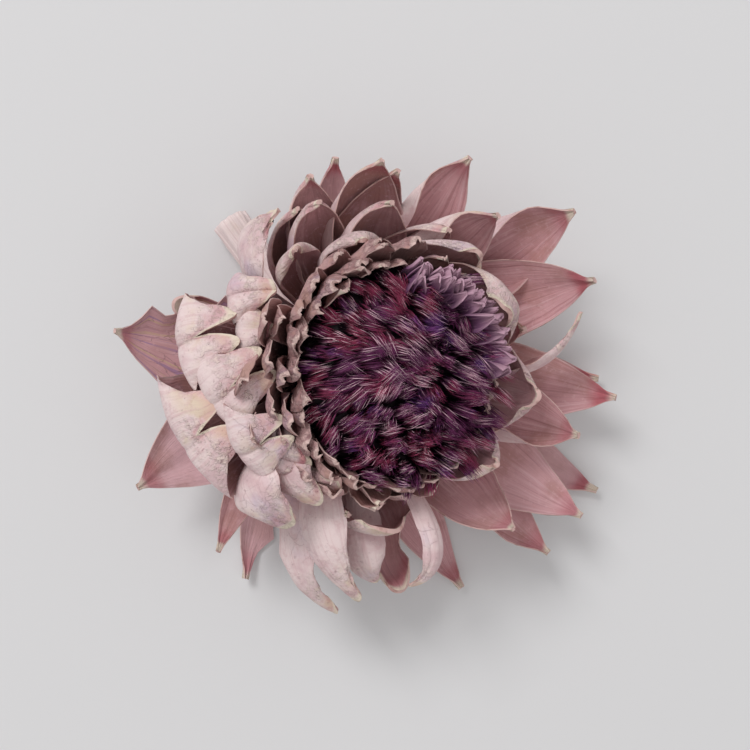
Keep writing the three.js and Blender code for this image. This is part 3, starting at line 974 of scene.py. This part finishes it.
class Bench:
    """Shapes primitives and joins them into finished pieces on the object's own origin."""

    def __init__(self, head: Head) -> None:
        """Keeps the head that the pieces belong to."""
        self.head = head

    def clear_selection(self) -> None:
        """Leaves nothing selected."""
        bpy.ops.object.select_all(action="DESELECT")

    def join(self, parts: Sequence[bpy.types.Object], name: str) -> bpy.types.Object:
        """Joins objects into one piece.

        Args:
            parts: The objects.
            name: The name of the piece.

        Returns:
            The piece.
        """
        self.clear_selection()
        for part in parts:
            part.select_set(True)
        bpy.context.view_layer.objects.active = parts[0]
        bpy.ops.object.join()
        piece = bpy.context.view_layer.objects.active
        piece.name = piece.data.name = name
        return piece

    def apply(self, piece: bpy.types.Object, kind: str, **settings: object) -> None:
        """Adds a modifier with those settings and applies it."""
        self.clear_selection()
        bpy.context.view_layer.objects.active = piece
        piece.select_set(True)
        modifier = piece.modifiers.new(kind.lower(), kind)
        for name, setting in settings.items():
            setattr(modifier, name, setting)
        bpy.ops.object.modifier_apply(modifier=modifier.name)

    def on_floor(self, piece: bpy.types.Object) -> None:
        """Lifts what would sink into the surface that the object lies on."""
        places = vertex_places(piece)
        places[:, 2] = np.maximum(places[:, 2], 0)
        piece.data.vertices.foreach_set("co", places.ravel())
        piece.data.update()

    def place(self, piece: bpy.types.Object, places: np.ndarray) -> None:
        """Gives a piece's vertices their places.

        Args:
            piece: The piece.
            places: The places in millimetres from the middle of the head.
        """
        moved = (places - np.array(self.head.middle)) * MM
        piece.data.vertices.foreach_set("co", moved.astype(np.float32).ravel())
        piece.data.update()

    def mark(self, piece: bpy.types.Object, name: str, numbers: np.ndarray) -> None:
        """Stores one number for each vertex, for the materials to read."""
        marks = piece.data.attributes.new(name, "FLOAT", "POINT")
        marks.data.foreach_set("value", np.asarray(numbers, dtype=np.float32))

    def dress(
        self, piece: bpy.types.Object, node: str, angle: float = 50
    ) -> bpy.types.Object:
        """Smooths a piece and ties it to the solid that it stands for.

        Args:
            piece: The piece.
            node: The solid that it replaces.
            angle: The edges sharper than this, in degrees, stay crisp.

        Returns:
            The piece.
        """
        self.clear_selection()
        bpy.context.view_layer.objects.active = piece
        piece.select_set(True)
        bpy.ops.object.shade_smooth_by_angle(angle=math.radians(angle))
        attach(piece, BODY)
        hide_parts(node)
        piece.data.calc_loop_triangles()
        LOG.info("%s: %d triangles", piece.name, len(piece.data.loop_triangles))
        return piece


@dataclass
class BractPiece:
    """A group of bracts that shows as one piece."""

    name: str
    bracts: Sequence[Bract]
    node: str = HEAD_NODE
    slot: str = "bract"
    across: int = 22
    along: int = 26
    seed: int = 1
    thickness: float = 2.2

    def build(
        self, bench: Bench, materials: Sequence[bpy.types.Material]
    ) -> bpy.types.Object:
        """Models the bracts, joins them and gives them their thickness.

        Args:
            bench: Where the pieces are shaped.
            materials: The inner face, the outer face and the margin.

        Returns:
            The finished piece.
        """
        draw = np.random.default_rng(self.seed)
        blades = [
            self.blade(bench, bract, k, draw.uniform(), materials)
            for k, bract in enumerate(self.bracts)
        ]
        piece = bench.join(blades, self.name)
        bench.apply(
            piece,
            "SOLIDIFY",
            thickness=self.thickness * MM,
            offset=-1,
            vertex_group="depth",
            material_offset=1,
            material_offset_rim=2,
        )
        piece.vertex_groups.clear()
        bench.on_floor(piece)
        return bench.dress(piece, self.node)

    def blade(
        self,
        bench: Bench,
        bract: Bract,
        number: int,
        tone: float,
        materials: Sequence[bpy.types.Material],
    ) -> bpy.types.Object:
        """Bends a flat grid into one bract.

        Args:
            bench: Where the pieces are shaped.
            bract: The bract's measures.
            number: Its place in the group, which shifts its patterns.
            tone: How pale it is, from 0 to 1.
            materials: The inner face, the outer face and the margin.

        Returns:
            The bract, still a sheet.
        """
        bench.clear_selection()
        bpy.ops.mesh.primitive_grid_add(
            x_subdivisions=self.across, y_subdivisions=self.along, size=2
        )
        sheet = bpy.context.active_object
        flat = vertex_places(sheet)
        across, along = -flat[:, 0], (flat[:, 1] + 1) / 2
        shaper = Blade(bench.head, bract)
        bench.place(sheet, shaper.shaped(across, along))
        bench.mark(sheet, "across", across)
        bench.mark(sheet, "along", along)
        bench.mark(sheet, "tone", np.full_like(along, tone))
        for name in ("blush", "streak", "shade"):
            bench.mark(sheet, name, np.full_like(along, getattr(bract, name)))
        flat_map = sheet.data.uv_layers.active
        flat_map.name = BLADE_MAP
        corners = np.empty(len(sheet.data.loops) * 2)
        flat_map.data.foreach_get("uv", corners)
        shift = (number * 1.7, number * 0.37)
        corners = corners.reshape(-1, 2) * (bract.width / MAP_WIDTH, 1) + shift
        flat_map.data.foreach_set("uv", corners.ravel())
        depth = sheet.vertex_groups.new(name="depth")
        for k, deep in enumerate(shaper.depth(across, along) / self.thickness):
            depth.add([k], float(deep), "REPLACE")
        for material in materials:
            sheet.data.materials.append(material)
        return sheet


@dataclass
class Stem:
    """The short ribbed stem, from under the heart to its cut end."""

    radius: float = 5.4
    ribs: int = 9
    rib_depth: float = 0.7
    end: Vector = field(default_factory=lambda: Vector((-43, 45.5, 4.6)))
    bend: Vector = field(default_factory=lambda: Vector((-24, 18, 7)))
    sunk: float = 2
    straight: float = 8
    rough: float = 0.25
    flare: float = 0.5
    pith_inset: float = 1.2
    pith_depth: float = 0.6
    weld: float = 0.02
    around: int = 54
    along: int = 60

    def build(self, bench: Bench, skin: bpy.types.Material) -> bpy.types.Object:
        """Wraps a grid round the stem's path and closes its ends."""
        head = bench.head
        start = head.neck + head.axis * self.sunk
        leave = head.neck - head.axis * self.straight
        bench.clear_selection()
        bpy.ops.mesh.primitive_grid_add(
            x_subdivisions=self.around, y_subdivisions=self.along, size=2
        )
        tube = bpy.context.active_object
        flat = vertex_places(tube)
        turn, along = (flat[:, 0] + 1) * np.pi, (flat[:, 1] + 1) / 2
        level = along[:, None]
        line = [np.array(one) for one in (start, leave, self.bend, self.end)]
        path = curve(line, level)
        forward = unit(curve(np.diff(line, axis=0), level))
        side = unit(np.cross(forward, (0, 0, 1)))
        up = np.cross(side, forward)
        ridge = 0.5 + 0.5 * np.cos(turn * self.ribs)
        spots = np.column_stack((np.cos(turn) * 1.5, np.sin(turn) * 1.5, along * 6))
        radius = self.radius - self.rib_depth * (1 - ridge**0.7) + self.rough * wave(spots)
        radius = radius + self.flare * smooth(along, 0.9, 1.0) * (0.6 + wave(spots * 2))
        turn = turn[:, None]
        bench.place(tube, path + radius[:, None] * (side * np.cos(turn) + up * np.sin(turn)))
        bench.mark(tube, "along", along)
        tube.data.uv_layers.active.name = BLADE_MAP
        tube.data.materials.append(skin)
        bpy.ops.object.mode_set(mode="EDIT")
        bpy.ops.mesh.select_all(action="SELECT")
        bpy.ops.mesh.remove_doubles(threshold=self.weld * MM)
        bpy.ops.mesh.select_all(action="DESELECT")
        bpy.ops.mesh.select_non_manifold(extend=False)
        bpy.ops.mesh.edge_face_add()
        bpy.ops.mesh.inset(thickness=self.pith_inset * MM, depth=-self.pith_depth * MM)
        bpy.ops.mesh.select_all(action="SELECT")
        bpy.ops.mesh.normals_make_consistent(inside=False)
        bpy.ops.object.mode_set(mode="OBJECT")
        tube.name = tube.data.name = "stem"
        bench.on_floor(tube)
        return bench.dress(tube, HEAD_NODE, angle=70)


@dataclass
class Dome:
    """A turned solid about the head's axis, closed at both ends.

    Every vertex carries the same mark, at which the fibres' material is as dark as at their feet: near
    black, painted shade for the choke's bed under the tufts.
    """

    name: str
    profile: Sequence[tuple[float, float]]
    node: str
    slot: str
    sides: int = 64
    # At this mark the fibres' material is near black, painted shade.
    mark: float = 0.4

    def build(self, bench: Bench, material: bpy.types.Material) -> bpy.types.Object:
        """Spins the profile up from a circle, ring by ring."""
        (radius, rise), *rest = self.profile
        bench.clear_selection()
        bpy.ops.mesh.primitive_circle_add(
            vertices=self.sides, radius=radius, fill_type="NGON", location=(0, 0, rise)
        )
        dome = bpy.context.active_object
        bpy.ops.object.transform_apply(location=True, rotation=True, scale=True)
        bpy.ops.object.mode_set(mode="EDIT")
        bpy.ops.mesh.select_all(action="SELECT")
        for next_radius, next_rise in rest:
            bpy.ops.mesh.extrude_region_move(
                TRANSFORM_OT_translate={"value": (0, 0, next_rise - rise)}
            )
            share = next_radius / radius
            bpy.ops.transform.resize(
                value=(share, share, 1), center_override=(0, 0, next_rise)
            )
            radius, rise = next_radius, next_rise
        bpy.ops.mesh.select_all(action="SELECT")
        bpy.ops.mesh.normals_make_consistent(inside=False)
        bpy.ops.object.mode_set(mode="OBJECT")
        head = bench.head
        turned = [head.neck + head.turn @ Vector(one) for one in vertex_places(dome)]
        bench.place(dome, np.array(turned))
        for name in ("along", "tone"):
            bench.mark(dome, name, np.full(len(turned), self.mark))
        dome.data.materials.append(material)
        dome.name = dome.data.name = self.name
        return bench.dress(dome, self.node)


@dataclass
class Florets:
    """The fibres of the choke, gathered in tufts that lean in over its middle."""

    tufts: int = 205
    strands: int = 104
    reach: float = 28.0
    foot: float = 38.0
    fall: float = 8.0
    length: float = 15.0
    spread: float = 2.2
    stray: float = 0.65
    gather: float = 0.6
    strand_radius: float = 0.16
    hollow_side: tuple[float, float] = (-35, 75)
    sunken_share: float = 0.28
    pieces: int = 3
    seed: int = 4

    def strand(self, bench: Bench) -> tuple[np.ndarray, np.ndarray]:
        """Models one three-sided strand, a unit long and a unit round.

        Args:
            bench: Where the pieces are shaped.

        Returns:
            Its vertices and its triangles.
        """
        bench.clear_selection()
        bpy.ops.mesh.primitive_circle_add(vertices=3, radius=1, fill_type="NGON")
        bpy.ops.object.mode_set(mode="EDIT")
        bpy.ops.mesh.select_all(action="SELECT")
        for share in (0.85, 0.75):
            bpy.ops.mesh.extrude_region_move(TRANSFORM_OT_translate={"value": (0, 0, 1 / 3)})
            bpy.ops.transform.resize(value=(share, share, 1), center_override=(0, 0, 0.5))
        bpy.ops.mesh.extrude_region_move(TRANSFORM_OT_translate={"value": (0, 0, 1 / 3)})
        bpy.ops.mesh.merge(type="CENTER")
        bpy.ops.mesh.select_all(action="SELECT")
        bpy.ops.mesh.normals_make_consistent(inside=False)
        bpy.ops.mesh.quads_convert_to_tris()
        bpy.ops.object.mode_set(mode="OBJECT")
        model = bpy.context.active_object
        points = np.array([tuple(vertex.co) for vertex in model.data.vertices])
        faces = np.array([tuple(face.vertices) for face in model.data.polygons])
        bpy.data.objects.remove(model)
        return points, faces

    def build(self, bench: Bench, material: bpy.types.Material) -> list[bpy.types.Object]:
        """Sets every tuft of strands on the dome, in a few pieces."""
        points, faces = self.strand(bench)
        draw = np.random.default_rng(self.seed)
        groups: list[list[np.ndarray]] = [[] for _ in range(self.pieces)]
        tones: list[list[np.ndarray]] = [[] for _ in range(self.pieces)]
        for k in range(self.tufts):
            places, tone = self.tuft(bench.head, points, k, draw)
            groups[k % self.pieces].append(places)
            tones[k % self.pieces].append(tone)
        made = []
        for number, (places, tone) in enumerate(zip(groups, tones)):
            copies = np.concatenate(places)
            count = len(copies)
            corners = (faces[None] + np.arange(count)[:, None, None] * len(points)).reshape(-1, 3)
            name = f"florets_{number + 1}"
            mesh = bpy.data.meshes.new(name)
            mesh.from_pydata(np.zeros((count * len(points), 3)).tolist(), [], corners.tolist())
            piece = bpy.data.objects.new(name, mesh)
            bpy.context.collection.objects.link(piece)
            bench.place(piece, copies.reshape(-1, 3))
            bench.mark(piece, "along", np.tile(points[:, 2], count))
            bench.mark(piece, "tone", np.repeat(np.concatenate(tone), len(points)))
            mesh.materials.append(material)
            made.append(bench.dress(piece, CHOKE_NODE, angle=180))
        return made

    def tuft(
        self, head: Head, points: np.ndarray, number: int, draw: np.random.Generator
    ) -> tuple[np.ndarray, np.ndarray]:
        """Bends and gathers the strands of one tuft.

        Args:
            head: The head that they grow on.
            points: The vertices of one strand.
            number: The tuft's place in the spiral.
            draw: The run of random numbers.

        Returns:
            The places of every strand's vertices, and each strand's tone.
        """
        share = math.sqrt((number + 0.5) / self.tufts)
        turn = number * GOLDEN_TURN + draw.uniform(-0.05, 0.05)
        first, last = self.ways(head, turn, share, draw)
        long = self.tuft_length(turn, share, draw)
        axis, out = np.array(head.axis), np.array(head.direction(turn))
        foot = np.array(head.point(turn, self.reach * share, self.foot - self.fall * share**2))
        count = self.strands
        angle = draw.uniform(0, math.tau, count)[:, None]
        off = self.spread * np.sqrt(draw.uniform(0, 1, count))[:, None]
        level = points[:, 2][None, :, None]
        length = (long * draw.uniform(0.5, 1.15, count))[:, None, None]
        bent = level * first + level**2 * (last - first) * 0.5
        offset = out * np.cos(angle) + np.cross(axis, out) * np.sin(angle)
        offset = (offset * off)[:, None, :]
        stray = draw.normal(0, self.stray, (count, 1, 3))
        centre = foot + length * bent + offset * (1 - self.gather * level) + stray * level
        one = np.cross(last, axis + 0.3 * out)
        one /= np.linalg.norm(one)
        two = np.cross(last, one)
        width = self.strand_radius * draw.uniform(0.7, 1.4, count)[:, None, None]
        ring = points[:, 0][None, :, None] * one + points[:, 1][None, :, None] * two
        tone = np.clip(draw.uniform(0, 1, count) * 0.8 + draw.uniform(0, 0.25), 0, 1)
        return centre + width * ring, tone

    def ways(
        self, head: Head, turn: float, share: float, draw: np.random.Generator
    ) -> tuple[np.ndarray, np.ndarray]:
        """The ways that a tuft sets out and ends.

        Args:
            head: The head that it grows on.
            turn: How far round it stands, in radians.
            share: How far out it stands, from 0 in the middle to 1.
            draw: The run of random numbers.

        Returns:
            Both as unit vectors. Behind, the tufts lie down towards the middle.
        """
        axis = np.array(head.axis)
        out = np.array(head.direction(turn))
        swirl = np.array(head.direction(turn - math.pi / 2))
        lee = head.lee(turn)
        lying = lee * (0.35 + 0.65 * share)
        leaning = 0.1 + 1.2 * lying - 0.5 * (1 - lee) * share
        first = axis + out * 0.5 * share**2 + swirl * 0.1
        last = axis * (1 - 0.7 * lying) - out * leaning + swirl * draw.uniform(-0.2, 0.6)
        last = last + draw.normal(0, 0.22, 3)
        return first / np.linalg.norm(first), last / np.linalg.norm(last)

    def tuft_length(self, turn: float, share: float, draw: np.random.Generator) -> float:
        """How long a tuft is: short in the middle and, with some sunken, on the hollow side."""
        start, end = (math.radians(one) for one in self.hollow_side)
        hollow = start < math.remainder(turn, math.tau) < end and 0.3 < share < 0.9
        sunken = hollow and draw.uniform() < self.sunken_share
        long = self.length * draw.uniform(0.5 if hollow else 0.8, 1.05)
        long *= 0.75 if share < 0.3 else 1
        return long * (0.45 if sunken else 1)


@dataclass
class LilacRing:
    """The small lilac scales at the edge of the choke, on the side that the head leans to."""

    start: float = 0
    end: float = 92
    counts: tuple[int, ...] = (18, 16, 13)
    radius: float = 26.0
    rise: float = 48.5
    step_out: float = 1.3
    step_down: float = 1.6
    seed: int = 9

    def bracts(self, head: Head) -> list[Bract]:
        """The scales, as small bracts in three rows."""
        draw = np.random.default_rng(self.seed)
        found = []
        for row, count in enumerate(self.counts):
            for k in range(count):
                share = (k + draw.uniform(0.1, 0.9)) / count
                turn = math.radians(self.start + share * (self.end - self.start))
                radius = self.radius + self.step_out * row + draw.uniform(-1.3, 1.3)
                rise = self.rise - self.step_down * row + draw.uniform(-2.5, 1.5)
                tip = head.point(turn, radius, rise)
                width = draw.uniform(3.8, 6.2)
                shaped = replace(LILAC, tip=tuple(tip), width=width, roll=draw.uniform(-35, 35))
                found.append(replace(shaped, swing=draw.uniform(-12, 12)))
        return found


@dataclass
class Studio:
    """A pale floor, soft light and a camera straight above."""

    height: float = 0.4
    lens: float = 64
    sensor: float = 36
    floor_size: float = 4
    floor_colour: Colour = linear(216, 215, 216)
    window: Vector = field(default_factory=lambda: Vector((-1.1, 1.5, 2.1)))
    window_power: float = 38
    window_size: float = 1.0
    room: Vector = field(default_factory=lambda: Vector((0.6, -0.6, 2.2)))
    room_power: float = 5
    room_size: float = 2
    aim: Vector = field(default_factory=lambda: Vector((0, 0, 0.03)))
    fill: float = 0.56

    def camera(self, head: Head) -> None:
        """Looks straight down at the middle of the head."""
        lens = bpy.data.cameras.new("camera")
        lens.lens = self.lens
        lens.sensor_width = self.sensor
        lens.clip_start = 0.01
        camera = bpy.data.objects.new("camera", lens)
        bpy.context.collection.objects.link(camera)
        camera.location = (-head.middle.x * MM, -head.middle.y * MM, self.height)
        bpy.context.scene.camera = camera

    def floor(self) -> None:
        """Lays the floor."""
        bpy.ops.object.select_all(action="DESELECT")
        bpy.ops.mesh.primitive_plane_add(size=self.floor_size)
        floor = bpy.context.active_object
        floor.name = "floor"
        shader = Shader("floor", 0.9)
        shader.surface.inputs["Base Color"].default_value = (*self.floor_colour, 1)
        floor.data.materials.append(shader.material)

    def lamp(self, name: str, place: Vector, power: float, size: float) -> None:
        """Hangs one soft lamp that faces the object."""
        light = bpy.data.lights.new(name, "AREA")
        light.energy = power
        light.size = size
        lamp = bpy.data.objects.new(name, light)
        bpy.context.collection.objects.link(lamp)
        lamp.location = place
        lamp.rotation_euler = (self.aim - place).to_track_quat("-Z", "Y").to_euler()

    def light(self) -> None:
        """Lights the scene as by a window at the upper left, with the room's own soft light."""
        self.lamp("window", self.window, self.window_power, self.window_size)
        self.lamp("room", self.room, self.room_power, self.room_size)
        world = bpy.data.worlds.new("room light")
        world.use_nodes = True
        back = world.node_tree.nodes["Background"]
        back.inputs["Color"].default_value = (1, 1, 1, 1)
        back.inputs["Strength"].default_value = self.fill
        bpy.context.scene.world = world
        bpy.context.scene.view_settings.view_transform = "Standard"


def main() -> None:
    """Builds the studio and every piece of the artichoke."""
    logging.basicConfig(level=logging.INFO, format="%(name)s %(message)s")
    head = Head()
    studio = Studio()
    studio.camera(head)
    studio.floor()
    studio.light()

    bench = Bench(head)
    skin = [finish.material() for finish in (InnerFace(), OuterFace(), Margin())]
    thin_skin = [finish.material() for finish in SCALE_SKIN]
    stem_skin = StemSkin().material()
    fibre = FloretFibre().material()
    lilac = LilacScale().material()

    grown = LOW_BRACTS + MIDDLE_BRACTS + HOOKED_BRACTS
    low = [one for k, ring in enumerate(LOW_RINGS) for one in ring.bracts(head, grown, k + 11)]
    scales = [one for k, ring in enumerate(SCALE_RINGS) for one in ring.bracts(head, (), k + 21)]
    BractPiece("low_bracts", (*LOW_BRACTS, *low), seed=1).build(bench, skin)
    BractPiece("middle_bracts", MIDDLE_BRACTS, seed=2).build(bench, skin)
    BractPiece("hooked_bracts", HOOKED_BRACTS, seed=3).build(bench, skin)
    thin = BractPiece("papery_scales", scales, across=12, along=20, seed=4, thickness=SCALE_THICKNESS)
    thin.build(bench, thin_skin)
    Stem().build(bench, stem_skin)
    Dome("heart", HEART, HEAD_NODE, "bract").build(bench, stem_skin)

    # The bed of the choke takes the fibres' darkest colour: a near-black dome of painted shade under the
    # tufts.
    Dome("choke_bed", CHOKE_BED, CHOKE_NODE, "floret").build(bench, fibre)
    Florets().build(bench, fibre)
    edge = BractPiece("lilac_scales", LilacRing().bracts(head), CHOKE_NODE, "floret")
    replace(edge, across=10, along=16, seed=5, thickness=SCALE_THICKNESS).build(bench, [lilac] * 3)


if __name__ == "__main__":
    main()
